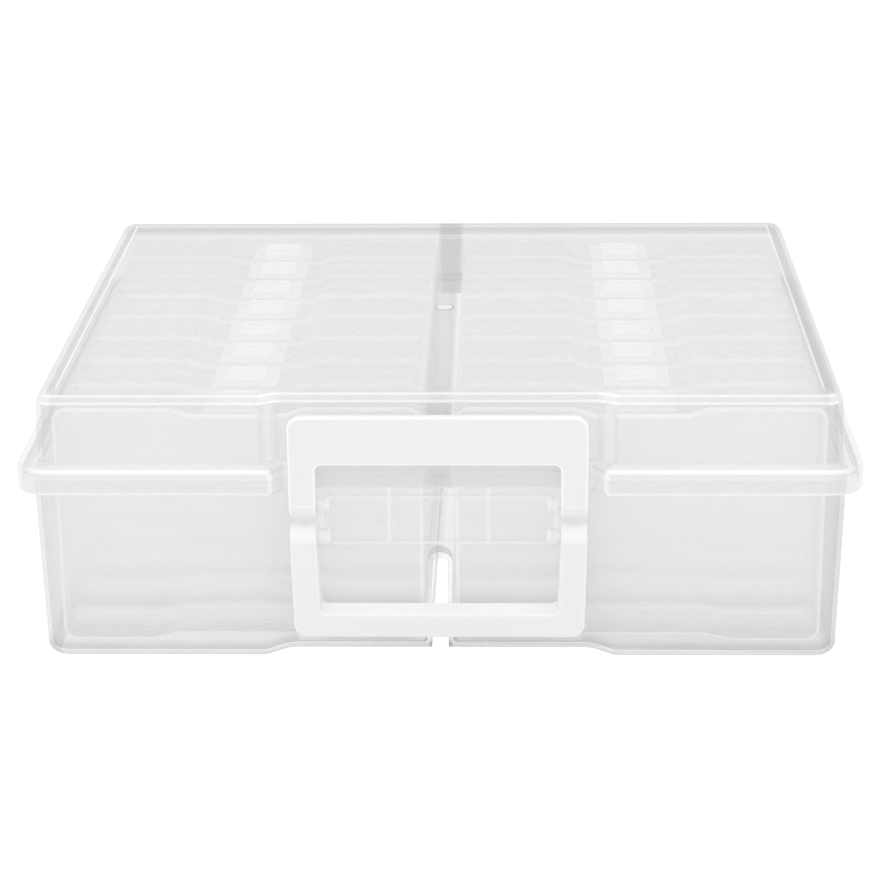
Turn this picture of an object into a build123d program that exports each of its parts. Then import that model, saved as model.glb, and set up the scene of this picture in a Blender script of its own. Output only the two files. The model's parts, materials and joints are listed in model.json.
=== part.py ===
from build123d import *
from math import radians, sqrt, tan
import os

# Photo keeper case: a clear tub and a hinged lid that hold sixteen slim snap cases, with a white latch
# frame and a white carry handle on a bracket at the front. Millimetres. X is across the case, Y runs from
# the front (-Y) to the back (+Y), Z is up, and the origin is the middle of the footprint.

# Inner cases: two columns of them, each case standing on its long edge and made of two half shells
cases_per_column = 8
inner_width = 166.0
inner_height = 113.0
inner_thickness = 32.4
inner_row_gap = 2.6
inner_wall = 1.2
inner_edge_chamfer = 1.2
inner_corner_chamfer = 4.4
half_gap = 0.2

# Long edges of an inner case: a notch at the top for the snap tongue, and one below for the hinge
tongue_notch_width = 42.0
tongue_notch_depth = 3.0
tongue_notch_ramp = 8.0
tongue_width = 18.4
tongue_length = 8.2
tongue_root = 8.2
tongue_thickness = 1.4
tongue_gap = 0.3
tongue_window = 12.0
nib_width = 10.0
nib_thickness = 1.6
nib_height = 1.2
hinge_notch_width = 58.0
hinge_notch_depth = 2.8
hinge_notch_ramp = 13.0
knuckle_radius = 1.3
knuckle_length = 12.0
knuckle_gap = 0.3

# Tub: one shell with two compartments and a hollow ridge between them
shell_wall = 2.0
tub_floor = 2.8
tub_draft = 1.3
tub_corner_radius = 10.0
tub_edge_radius = 5.5
floor_chamfer = 1.6
tunnel_width = 7.6
tunnel_height = 46.0
tunnel_foot_flare = 1.4
inner_floor_gap = 0.2
inner_corner_gap = 1.7
inner_front_gap = 1.0
inner_ridge_gap = 0.8

# Lid: a raised shell on a ledge, with a skirt that laps over the tub's rim
lid_wall = 2.0
lid_headroom = 7.0  # above the inner cases
ledge_top = 93.0
skirt_height = 11.7
skirt_side_overhang = 8.9  # from the tub's side at the table out to the skirt's outer face
skirt_front_overhang = 6.9
skirt_back_overhang = 9.2
skirt_corner_radius = 15.0
skirt_edge_chamfer = 1.2
lid_side_inset = 8.8  # from the skirt's outer face in to the raised shell, at the ledge
lid_front_inset = 8.8
lid_back_inset = 9.6
lid_draft = 2.0
lid_corner_radius = 8.5
lid_edge_radius = 6.0
lid_inner_chamfer = 2.6
gate_y = -14.7  # the dimple that the lid's mould gate leaves on its top
gate_radius = 2.6
gate_depth = 0.5

# How the lid sits on the rim
rim_seat_gap = 0.3
lip_gap = 0.8
lip_thickness = 2.0

# Latch frame and handle, and the pins that they turn on
grip_width = 132.0
grip_setback = 0.8  # from the skirt's outer face back to the latch's and the handle's front faces
grip_wall = 2.4
grip_ribs = 4
grip_rib_thickness = 1.6
grip_corner_radius = 6.0
arm_width = 12.0
pivot_radius = 6.2
pivot_spacing = 15.6
latch_pivot_drop = 6.3  # below the skirt
latch_thickness = 8.0
latch_top_chamfer = 4.4  # along the bar's upper edge at the back
latch_bar_height = 22.6
latch_bar_rise = 2.0  # of the bar's lower edge above the lid's ledge
latch_opening_radius = 3.0
latch_lip_height = 3.0
latch_lip_length = 92.0
latch_lip_gap = 0.3
handle_length = 46.4  # from the pivots to the underside of the bar
handle_bar_height = 11.4
handle_depth = 13.0
handle_toe_in = 1.1  # on each side, from the pivots down to the bar
handle_opening_radius = 2.4
pin_radius = 2.0
pin_clearance = 0.08

# How far from a height an edge may lie and still count as lying at it
flat_tolerance = 0.001

# Front recess, and the bracket in it that carries both pivots
recess_side_gap = 1.3  # from the latch's side to the end of the recess's flat floor
recess_curve_radius = 8.0
tub_recess_ramp = 10.4
tub_pivot_gap = 0.5
skirt_recess_ramp = 6.2
skirt_curve_radius = 3.2
skirt_latch_gap = 0.5
lid_recess_ramp = 5.2
lid_recess_widening = 4.7
lid_recess_ledge = 3.0
bracket_end_gap = 1.0
bracket_shelf = 1.6
bracket_rib_spacing = 44.0
bracket_rib_rise = 1.6
boss_radius = 3.8
boss_length = 4.4

# Rear hinges: a pin between two lugs on the tub, and a snap clip on the lid
hinge_spacing = 190.0
hinge_rise = 1.2  # of the pins above the skirt's lower edge
hinge_pin_radius = 1.6
hinge_clip_radius = 3.3
hinge_clip_width = 22.0
hinge_clip_slot = 2.6
hinge_lug_width = 3.0
hinge_lug_radius = 3.1
hinge_side_gap = 0.5

# Worked out from the sizes above, from the inner cases outwards
skirt_bottom = ledge_top - skirt_height
latch_pivot_height = skirt_bottom - latch_pivot_drop
handle_pivot_height = latch_pivot_height - pivot_spacing
draft_rise = tan(radians(tub_draft))  # how far the tub's walls lean out for each unit of height
corner_clearance = (1 - sqrt(0.5)) * (tub_corner_radius - shell_wall) + inner_corner_gap
grip_depth = grip_setback + 2 * pivot_radius + tub_pivot_gap + draft_rise * latch_pivot_height
inner_pitch = inner_thickness + inner_row_gap
column_x = tunnel_width / 2 + shell_wall + inner_ridge_gap + inner_width / 2
tub_half_width = column_x + inner_width / 2 + corner_clearance + shell_wall
case_width = 2 * (tub_half_width + skirt_side_overhang)
case_depth = (
    grip_depth
    + shell_wall
    + inner_front_gap
    + cases_per_column * inner_pitch
    - inner_row_gap
    + corner_clearance
    + shell_wall
    + skirt_back_overhang
)
case_height = tub_floor + inner_floor_gap + inner_height + lid_headroom + lid_wall
front = -case_depth / 2
back = case_depth / 2
recess_wall = front + grip_depth  # the recess's floor at the table
grip_face = front + grip_setback
pivot_y = grip_face + pivot_radius
recess_half = grip_width / 2 + recess_side_gap
tub_height = ledge_top - lid_wall - rim_seat_gap
skirt_recess_depth = grip_setback + latch_thickness + skirt_latch_gap
lid_recess_depth = skirt_recess_depth + lid_recess_ledge - lid_front_inset
arm_inner = grip_width / 2 - arm_width
bracket_half = arm_inner - bracket_end_gap
bracket_bottom = handle_pivot_height - boss_radius
bracket_top = latch_pivot_height + boss_radius
bracket_depth = recess_wall - draft_rise * bracket_bottom + shell_wall / 2 - pivot_y
hinge_y = back - hinge_clip_radius
hinge_height = skirt_bottom + hinge_rise
hinge_centres = (-hinge_spacing / 2, hinge_spacing / 2)
hinge_clearance = hinge_lug_width + 2 * hinge_side_gap
lug_reach = skirt_back_overhang - hinge_clip_radius + shell_wall / 2
latch_bar_bottom = ledge_top + latch_bar_rise
latch_top = latch_bar_bottom + latch_bar_height
latch_back = grip_face + latch_thickness
latch_lip_end = front + skirt_recess_depth + lid_recess_ledge - latch_lip_gap
latch_lip_reach = latch_lip_end - latch_back + grip_wall / 2
handle_bottom = handle_pivot_height - handle_length
inner_bottom = tub_floor + inner_floor_gap
inner_top = inner_bottom + inner_height
half_depth = (inner_thickness - half_gap) / 2
first_case_y = recess_wall + shell_wall + inner_front_gap + inner_thickness / 2


def notched_outline(half_width, front_y, back_y, notch_half, depth, ramp, corner_radius, curve_radius):
    """A rounded rectangle whose front edge steps back round the recess in two S-curves."""
    corners = [
        (-half_width, front_y),
        (-notch_half - ramp, front_y),
        (-notch_half, front_y + depth),
        (notch_half, front_y + depth),
        (notch_half + ramp, front_y),
        (half_width, front_y),
        (half_width, back_y),
        (-half_width, back_y),
    ]
    radii = [corner_radius] + [curve_radius] * 4 + [corner_radius] * 3
    with BuildSketch() as outline:
        with BuildLine():
            FilletPolyline(*corners, radius=radii, close=True)
        make_face()
    return outline.sketch


def arch_outline(width, top, foot_flare):
    """A doorway seen from the front: a round head on straight sides that flare at the foot."""
    half = width / 2
    with BuildSketch() as outline:
        with BuildLine():
            CenterArc((0, top - half), half, 0, 180)
            Polyline(
                (-half, top - half),
                (-half, foot_flare),
                (-half - foot_flare, 0),
                (half + foot_flare, 0),
                (half, foot_flare),
                (half, top - half),
            )
        make_face()
    return outline.sketch


def edges_at_height(part, height):
    """The edges of a part that lie flat at one height."""
    return part.edges().filter_by_position(Axis.Z, height - flat_tolerance, height + flat_tolerance)


def finish(part, label):
    """Names a finished piece and writes its STEP file."""
    part.label = label
    export_step(part, f"parts/{label}.step")


os.makedirs("parts", exist_ok=True)

tub_outline = notched_outline(
    tub_half_width,
    front + skirt_front_overhang,
    back - skirt_back_overhang,
    recess_half,
    grip_depth - skirt_front_overhang,
    tub_recess_ramp,
    tub_corner_radius,
    recess_curve_radius,
)
skirt_outline = notched_outline(
    case_width / 2,
    front,
    back,
    recess_half,
    skirt_recess_depth,
    skirt_recess_ramp,
    skirt_corner_radius,
    skirt_curve_radius,
)
lid_outline = notched_outline(
    case_width / 2 - lid_side_inset,
    front + lid_front_inset,
    back - lid_back_inset,
    recess_half + lid_recess_widening,
    lid_recess_depth,
    lid_recess_ramp,
    lid_corner_radius,
    recess_curve_radius,
)

# The space inside the tub: its two compartments, with the ridge between them left out
with BuildPart() as compartments:
    with BuildSketch(Plane.XY.offset(tub_floor)):
        add(tub_outline)
        offset(amount=-shell_wall)
    extrude(amount=tub_height, taper=-tub_draft)
    with BuildSketch(Plane.XZ):
        add(arch_outline(tunnel_width + 2 * shell_wall, tunnel_height + shell_wall, tunnel_foot_flare))
    extrude(amount=case_depth / 2, both=True, mode=Mode.SUBTRACT)
    chamfer(edges_at_height(compartments, tub_floor), floor_chamfer)

with BuildPart() as tub:
    with BuildSketch(Plane.XY.offset(tub_height)):
        add(tub_outline)
        offset(amount=draft_rise * tub_height)
    extrude(amount=-tub_height, taper=tub_draft)
    fillet(edges_at_height(tub, 0), tub_edge_radius)
    with BuildSketch(Plane.XY.offset(tub_height - lip_thickness)):
        add(skirt_outline)
        offset(amount=-lid_wall - lip_gap)
    extrude(amount=lip_thickness)
    add(compartments.part, mode=Mode.SUBTRACT)
    with BuildSketch(Plane.XZ):
        add(arch_outline(tunnel_width, tunnel_height, tunnel_foot_flare))
    extrude(amount=case_depth / 2, both=True, mode=Mode.SUBTRACT)

    # The bracket: two shelves and two ribs, closed at each side by an end plate with a boss for each pivot
    with BuildSketch(Plane.XY.offset(bracket_bottom), Plane.XY.offset(bracket_top - bracket_shelf)):
        with Locations((0, pivot_y)):
            Rectangle(2 * bracket_half, bracket_depth, align=(Align.CENTER, Align.MIN))
    extrude(amount=bracket_shelf)
    for side in (-1, 1):
        end = Plane.YZ.offset(side * bracket_half)
        with BuildSketch(Plane.YZ.offset(side * bracket_rib_spacing / 2)):
            with Locations((pivot_y, bracket_bottom)):
                Rectangle(
                    bracket_depth,
                    bracket_top + bracket_rib_rise - bracket_bottom,
                    align=(Align.MIN, Align.MIN),
                )
        extrude(amount=bracket_shelf / 2, both=True)
        with BuildSketch(end):
            with Locations((pivot_y, bracket_bottom)):
                Rectangle(bracket_depth, bracket_top - bracket_bottom, align=(Align.MIN, Align.MIN))
        extrude(amount=-side * boss_length / 2)
        with BuildSketch(end):
            with Locations((pivot_y, handle_pivot_height), (pivot_y, latch_pivot_height)):
                Circle(boss_radius)
        extrude(amount=-side * boss_length)
        with BuildSketch(end):
            with Locations((pivot_y, handle_pivot_height), (pivot_y, latch_pivot_height)):
                Circle(pin_radius + pin_clearance)
        extrude(amount=-side * boss_length, mode=Mode.SUBTRACT)

    # Rear hinges
    for centre in hinge_centres:
        for side in (-1, 1):
            with BuildSketch(Plane.YZ.offset(centre + side * (hinge_clip_width / 2 + hinge_side_gap))):
                with Locations((hinge_y, hinge_height)):
                    Circle(hinge_lug_radius)
                    Rectangle(lug_reach, 2 * hinge_lug_radius, align=(Align.MAX, Align.CENTER))
            extrude(amount=side * hinge_lug_width)
        with BuildSketch(Plane.YZ.offset(centre)):
            with Locations((hinge_y, hinge_height)):
                Circle(hinge_pin_radius)
        extrude(amount=hinge_clip_width / 2 + hinge_side_gap, both=True)
finish(tub.part, "tub")

# The space under the lid's raised shell
with BuildPart() as lid_hollow:
    with BuildSketch(Plane.XY.offset(ledge_top - lid_wall)):
        add(lid_outline)
        offset(amount=-lid_wall)
    extrude(amount=case_height - ledge_top, taper=lid_draft)
    chamfer(edges_at_height(lid_hollow, case_height - lid_wall), lid_inner_chamfer)

with BuildPart() as lid:
    with BuildSketch(Plane.XY.offset(skirt_bottom)):
        add(skirt_outline)
    extrude(amount=skirt_height)
    chamfer(edges_at_height(lid, ledge_top), skirt_edge_chamfer)
    with BuildSketch(Plane.XY.offset(ledge_top - lid_wall)):
        add(lid_outline)
    extrude(amount=case_height - ledge_top + lid_wall, taper=lid_draft)
    fillet(edges_at_height(lid, case_height), lid_edge_radius)
    with BuildSketch(Plane.XY.offset(skirt_bottom)):
        add(skirt_outline)
        offset(amount=-lid_wall)
    extrude(amount=skirt_height - lid_wall, mode=Mode.SUBTRACT)
    add(lid_hollow.part, mode=Mode.SUBTRACT)
    with BuildSketch(Plane.XY.offset(case_height)):
        with Locations((0, gate_y)):
            Circle(gate_radius)
    extrude(amount=-gate_depth, mode=Mode.SUBTRACT)

    # Each clip hangs from the skirt between two slots that clear the tub's lugs
    with BuildSketch(Plane.XZ.offset(-back)):
        for centre in hinge_centres:
            with Locations((centre, skirt_bottom)):
                Rectangle(
                    hinge_clip_width + 2 * hinge_clearance,
                    hinge_height + hinge_lug_radius + hinge_side_gap - skirt_bottom,
                    align=(Align.CENTER, Align.MIN),
                )
    extrude(amount=lid_wall + lip_gap / 2, mode=Mode.SUBTRACT)
    for centre in hinge_centres:
        with BuildSketch(Plane.YZ.offset(centre)):
            with Locations((hinge_y, hinge_height)):
                Circle(hinge_clip_radius)
                with Locations((hinge_clip_radius, 0)):
                    Rectangle(lid_wall, skirt_height / 2, align=(Align.MAX, Align.MIN))
                Circle(hinge_pin_radius + pin_clearance, mode=Mode.SUBTRACT)
                Rectangle(
                    2 * hinge_clip_radius,
                    hinge_clip_slot,
                    rotation=225,
                    align=(Align.MIN, Align.CENTER),
                    mode=Mode.SUBTRACT,
                )
        extrude(amount=hinge_clip_width / 2, both=True)
finish(lid.part, "lid")


def pivot_pins(height):
    """Adds the two stub pins that point inwards from the arms into the bracket's bosses."""
    for side in (-1, 1):
        with BuildSketch(Plane.YZ.offset(side * (arm_inner + arm_width / 2))) as pin:
            with Locations((pivot_y, height)):
                Circle(pin_radius)
        extrude(pin.sketch, amount=-side * (arm_width / 2 + bracket_end_gap + boss_length))


# The latch: an inverted U, hollow at the back, whose lip hooks over the lid's ledge
with BuildPart() as latch:
    with BuildSketch(Plane.XZ.offset(-grip_face)) as latch_face:
        with BuildLine():
            FilletPolyline(
                (-grip_width / 2, latch_pivot_height),
                (-grip_width / 2, latch_top),
                (grip_width / 2, latch_top),
                (grip_width / 2, latch_pivot_height),
                (arm_inner, latch_pivot_height),
                (arm_inner, latch_bar_bottom),
                (-arm_inner, latch_bar_bottom),
                (-arm_inner, latch_pivot_height),
                radius=[0, grip_corner_radius, grip_corner_radius, 0, 0] + [latch_opening_radius] * 2 + [0],
                close=True,
            )
        make_face()
    extrude(amount=-latch_thickness)
    with BuildSketch(Plane.XZ.offset(-latch_back)):
        add(latch_face.sketch)
        offset(amount=-grip_wall)
        with Locations((0, latch_pivot_height)):
            Rectangle(grip_width, 2 * pivot_radius, mode=Mode.SUBTRACT)
    extrude(amount=latch_thickness - grip_wall, mode=Mode.SUBTRACT)
    with BuildSketch(Plane.XZ.offset(-grip_face)):
        with GridLocations(2 * arm_inner / (grip_ribs + 1), 0, grip_ribs, 1):
            with Locations((0, latch_bar_bottom)):
                Rectangle(grip_rib_thickness, latch_bar_height - grip_wall, align=(Align.CENTER, Align.MIN))
    extrude(amount=-latch_thickness)
    with BuildSketch(Plane.YZ):
        with Locations((latch_back, latch_top)):
            Polygon(
                (0, 0),
                (-latch_top_chamfer, 0),
                (0, -latch_top_chamfer),
                align=None,
            )
    extrude(amount=grip_width / 2, both=True, mode=Mode.SUBTRACT)
    for side in (-1, 1):
        with BuildSketch(Plane.YZ.offset(side * arm_inner)):
            with Locations((pivot_y, latch_pivot_height)):
                Circle(pivot_radius)
        extrude(amount=side * arm_width)
    with BuildSketch(Plane.YZ):
        with Locations((latch_lip_end, ledge_top + latch_lip_gap)):
            Rectangle(latch_lip_reach, latch_lip_height, align=(Align.MAX, Align.MIN))
    extrude(amount=latch_lip_length / 2, both=True)
    pivot_pins(latch_pivot_height)
finish(latch.part, "latch")

# The handle: a U with a thick bar to hold, also hollow at the back
handle_face_points = (
    (-grip_width / 2, handle_pivot_height),
    (-grip_width / 2 + handle_toe_in, handle_bottom),
    (grip_width / 2 - handle_toe_in, handle_bottom),
    (grip_width / 2, handle_pivot_height),
    (arm_inner, handle_pivot_height),
    (arm_inner - handle_toe_in, handle_bottom + handle_bar_height),
    (handle_toe_in - arm_inner, handle_bottom + handle_bar_height),
    (-arm_inner, handle_pivot_height),
)
with BuildPart() as handle:
    with BuildSketch(Plane.XZ.offset(-grip_face)) as handle_face:
        with BuildLine():
            FilletPolyline(
                *handle_face_points,
                radius=[0] + [grip_corner_radius] * 2 + [0, 0] + [handle_opening_radius] * 2 + [0],
                close=True,
            )
        make_face()
    extrude(amount=-handle_depth)
    with BuildSketch(Plane.XZ.offset(-grip_face - handle_depth)):
        add(handle_face.sketch)
        offset(amount=-grip_wall)
        with Locations((0, handle_pivot_height)):
            Rectangle(grip_width, 2 * pivot_radius, mode=Mode.SUBTRACT)
    extrude(amount=handle_depth - grip_wall, mode=Mode.SUBTRACT)
    with BuildSketch(Plane.XZ.offset(-grip_face)):
        with GridLocations(2 * arm_inner / (grip_ribs + 1), 0, grip_ribs, 1):
            with Locations((0, handle_bottom)):
                Rectangle(grip_rib_thickness, handle_bar_height, align=(Align.CENTER, Align.MIN))
    extrude(amount=-handle_depth)
    for side in (-1, 1):
        with BuildSketch(Plane.YZ.offset(side * arm_inner)):
            with Locations((pivot_y, handle_pivot_height)):
                Circle(pivot_radius)
        extrude(amount=side * arm_width)
    pivot_pins(handle_pivot_height)
finish(handle.part, "handle")

# Half shell of an inner case: the front half, with its open side at Y = 0 and its outer face to the front
inner_corners = (
    (-inner_width / 2, inner_bottom),
    (-hinge_notch_width / 2 - hinge_notch_ramp, inner_bottom),
    (-hinge_notch_width / 2, inner_bottom + hinge_notch_depth),
    (hinge_notch_width / 2, inner_bottom + hinge_notch_depth),
    (hinge_notch_width / 2 + hinge_notch_ramp, inner_bottom),
    (inner_width / 2, inner_bottom),
    (inner_width / 2, inner_top),
    (tongue_notch_width / 2 + tongue_notch_ramp, inner_top),
    (tongue_notch_width / 2, inner_top - tongue_notch_depth),
    (-tongue_notch_width / 2, inner_top - tongue_notch_depth),
    (-tongue_notch_width / 2 - tongue_notch_ramp, inner_top),
    (-inner_width / 2, inner_top),
)
with BuildPart() as half_shell:
    with BuildSketch(Plane.XZ.offset(half_gap / 2)) as inner_outline:
        with BuildLine():
            Polyline(*inner_corners, close=True)
        make_face()
        chamfer(inner_outline.vertices().group_by(Axis.X)[0], inner_corner_chamfer)
        chamfer(inner_outline.vertices().group_by(Axis.X)[-1], inner_corner_chamfer)
    extrude(amount=half_depth)
    chamfer(half_shell.edges().filter_by_position(Axis.Y, -inner_thickness, -half_depth), inner_edge_chamfer)
    with BuildSketch(Plane.XZ.offset(half_gap / 2)):
        add(inner_outline.sketch)
        offset(amount=-inner_wall, kind=Kind.INTERSECTION)
    extrude(amount=half_depth - inner_wall, mode=Mode.SUBTRACT)


def hinge_knuckles(towards, centres, length):
    """Adds hinge knuckles under the lower notch, each on a web that rises into the half shell's wall."""
    for centre in centres:
        with BuildSketch(Plane.YZ.offset(centre - length / 2)) as knuckle:
            with Locations((0, knuckle_height)):
                RegularPolygon(knuckle_radius, 6, major_radius=False)
            with Locations((towards * half_gap / 2, knuckle_height)):
                Rectangle(
                    knuckle_radius - half_gap / 2,
                    inner_bottom + hinge_notch_depth + inner_wall / 2 - knuckle_height,
                    align=(Align.MIN if towards > 0 else Align.MAX, Align.MIN),
                )
        extrude(knuckle.sketch, amount=length)


knuckle_height = inner_bottom + hinge_notch_depth - knuckle_radius - half_gap
tongue_floor = inner_top - tongue_notch_depth
with BuildPart() as cover:
    add(half_shell.part)
    with BuildSketch(Plane.XY.offset(tongue_floor + tongue_gap)):
        with Locations((0, tongue_length)):
            Rectangle(tongue_width, tongue_length + tongue_root, align=(Align.CENTER, Align.MAX))
        with Locations((0, tongue_length / 2)):
            Rectangle(tongue_window, nib_thickness + 2 * tongue_gap, mode=Mode.SUBTRACT)
    extrude(amount=tongue_thickness)
    with BuildSketch(Plane.XY.offset(tongue_floor - inner_wall / 2)):
        with Locations((0, -half_gap / 2)):
            Rectangle(tongue_width, tongue_root - half_gap / 2, align=(Align.CENTER, Align.MAX))
    extrude(amount=inner_wall / 2 + tongue_gap)
    hinge_knuckles(-1, [-knuckle_length - knuckle_gap, knuckle_length + knuckle_gap], knuckle_length)

with BuildPart() as tray:
    add(half_shell.part)
    mirror(about=Plane.XZ, mode=Mode.REPLACE)
    with BuildSketch(Plane.XY.offset(tongue_floor - inner_wall / 2)):
        with Locations((0, tongue_length / 2)):
            Rectangle(nib_width, nib_thickness)
    extrude(amount=inner_wall / 2 + nib_height)
    hinge_knuckles(1, [0], knuckle_length)

for column, column_name in ((-1, "left"), (1, "right")):
    for row in range(cases_per_column):
        place = Location((column * column_x, first_case_y + row * inner_pitch, 0))
        for half_name, half in (("tray", tray), ("cover", cover)):
            with BuildPart() as placed:
                with Locations(place):
                    add(half.part)
            finish(placed.part, f"{column_name}_case_{row + 1}_{half_name}")
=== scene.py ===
"""Photo keeper case: a clear tub and a hinged lid over sixteen snap cases, with a white latch and handle."""

import json
import math

import bmesh
import bpy
import numpy as np
from bpy.props import FloatProperty, FloatVectorProperty, IntProperty, PointerProperty
from bpy.types import Operator, Panel, PropertyGroup
from mathutils import Matrix, Vector


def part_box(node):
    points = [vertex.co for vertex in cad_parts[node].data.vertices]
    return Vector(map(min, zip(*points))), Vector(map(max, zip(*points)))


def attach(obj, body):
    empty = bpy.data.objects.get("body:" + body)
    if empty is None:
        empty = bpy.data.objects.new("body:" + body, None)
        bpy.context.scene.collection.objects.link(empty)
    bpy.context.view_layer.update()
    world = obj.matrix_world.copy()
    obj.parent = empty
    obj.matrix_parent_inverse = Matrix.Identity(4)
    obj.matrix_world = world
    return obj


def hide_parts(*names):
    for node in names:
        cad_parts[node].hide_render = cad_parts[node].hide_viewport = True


bl_info = {
    "name": "Photo Keeper Case",
    "version": (1, 0, 0),
    "blender": (4, 5, 0),
    "location": "3D View > Sidebar > Keeper",
    "description": "Builds a clear photo keeper case round its CAD frame",
    "category": "Add Mesh",
}

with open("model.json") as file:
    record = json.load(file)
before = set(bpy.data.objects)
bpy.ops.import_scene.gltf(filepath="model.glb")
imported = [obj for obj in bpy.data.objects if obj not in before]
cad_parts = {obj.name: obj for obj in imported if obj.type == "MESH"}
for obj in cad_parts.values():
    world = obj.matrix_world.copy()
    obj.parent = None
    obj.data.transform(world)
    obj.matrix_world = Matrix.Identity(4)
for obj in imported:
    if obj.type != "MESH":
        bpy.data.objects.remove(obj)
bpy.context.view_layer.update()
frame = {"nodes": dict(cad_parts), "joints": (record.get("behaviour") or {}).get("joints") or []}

MM = 0.001
WHITE = (1.0, 1.0, 1.0, 1.0)
SQUARE = ((-1, -1), (1, -1), (1, 1), (-1, 1))
STYRENE_IOR = 1.49
COLUMNS = ("left", "right")
CASES = 8
PIVOT_HEIGHT = {joint["name"]: joint["pos_m"][2] / MM for joint in frame["joints"]}
LEDGE_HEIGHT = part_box("tub")[1].z / MM + 2.3


# ---------------- surfaces


def rounded_outline(corners, radii, inset, steps):
    """Points of a closed anticlockwise path through corners, set in by each value of inset.

    Each corner moves along the mitre of its two runs: inset * (n1 + n2) / (1 + n1 . n2), where n1 and n2
    are the runs' outward normals. Its radius shrinks by the inset where the path turns left and grows by
    it where the path turns right. The arc starts radius * tan(turn / 2) before the corner, and its points
    are the centre plus the first normal turned by equal shares of the turn, times the radius.
    The result is an array of (insets, corners * steps, 2).
    """
    corner = np.asarray(corners, float)
    before = corner - np.roll(corner, 1, axis=0)
    before /= np.linalg.norm(before, axis=1, keepdims=True)
    after = np.roll(before, -1, axis=0)
    turn = np.arctan2(before[:, 0] * after[:, 1] - before[:, 1] * after[:, 0], (before * after).sum(1))
    side = np.sign(turn)
    normal = np.stack([before[:, 1], -before[:, 0]], 1)
    following = np.stack([after[:, 1], -after[:, 0]], 1)
    mitre = (normal + following) / (1 + (normal * following).sum(1, keepdims=True))
    inset = np.atleast_1d(np.asarray(inset, float))[:, None]
    least = 0.05 * MM
    radius = np.maximum(np.broadcast_to(np.asarray(radii, float), turn.shape) - side * inset, least)
    place = corner[None] - inset[..., None] * mitre[None]
    start = place - before[None] * (radius * np.tan(np.abs(turn) / 2))[..., None]
    centre = start - normal[None] * (side * radius)[..., None]
    angle = turn[:, None] * np.linspace(0, 1, steps)
    cosine, sine = np.cos(angle), np.sin(angle)
    swung = np.stack(
        [
            cosine * normal[:, None, 0] - sine * normal[:, None, 1],
            sine * normal[:, None, 0] + cosine * normal[:, None, 1],
        ],
        -1,
    )
    points = centre[:, :, None] + swung[None] * (side * radius)[..., None, None]
    return points.reshape(len(inset), -1, 2)


def quarter(radius, start, stop, steps=5):
    """Offsets across and along a quarter turn: radius * (1 - cos t) and radius * sin t, t in degrees."""
    t = np.linspace(math.radians(start), math.radians(stop), steps)
    return radius * (1 - np.cos(t)), radius * np.sin(t)


def raised(outline, height):
    """Gives each row of an outline its height: (rows, points, 2) becomes (rows, points, 3)."""
    return np.concatenate([outline, np.broadcast_to(height[:, None, None], outline.shape[:2] + (1,))], -1)


def upright(points):
    """Leaves an outline in plan, with its height along Z."""
    return points


def facing_front(points):
    """Stands an outline up, its thickness running to the front: (u, v, w) becomes (u, -w, v)."""
    return np.stack([points[..., 0], -points[..., 2], points[..., 1]], -1)


def facing_back(points):
    """Stands an outline up, its thickness running back: (u, v, w) becomes (u, w, v), a mirror image."""
    return np.stack([points[..., 0], points[..., 2], points[..., 1]], -1)


def facing_side(points):
    """Turns an outline to face along X: (u, v, w) becomes (w, u, v)."""
    return np.stack([points[..., 2], points[..., 0], points[..., 1]], -1)


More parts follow.
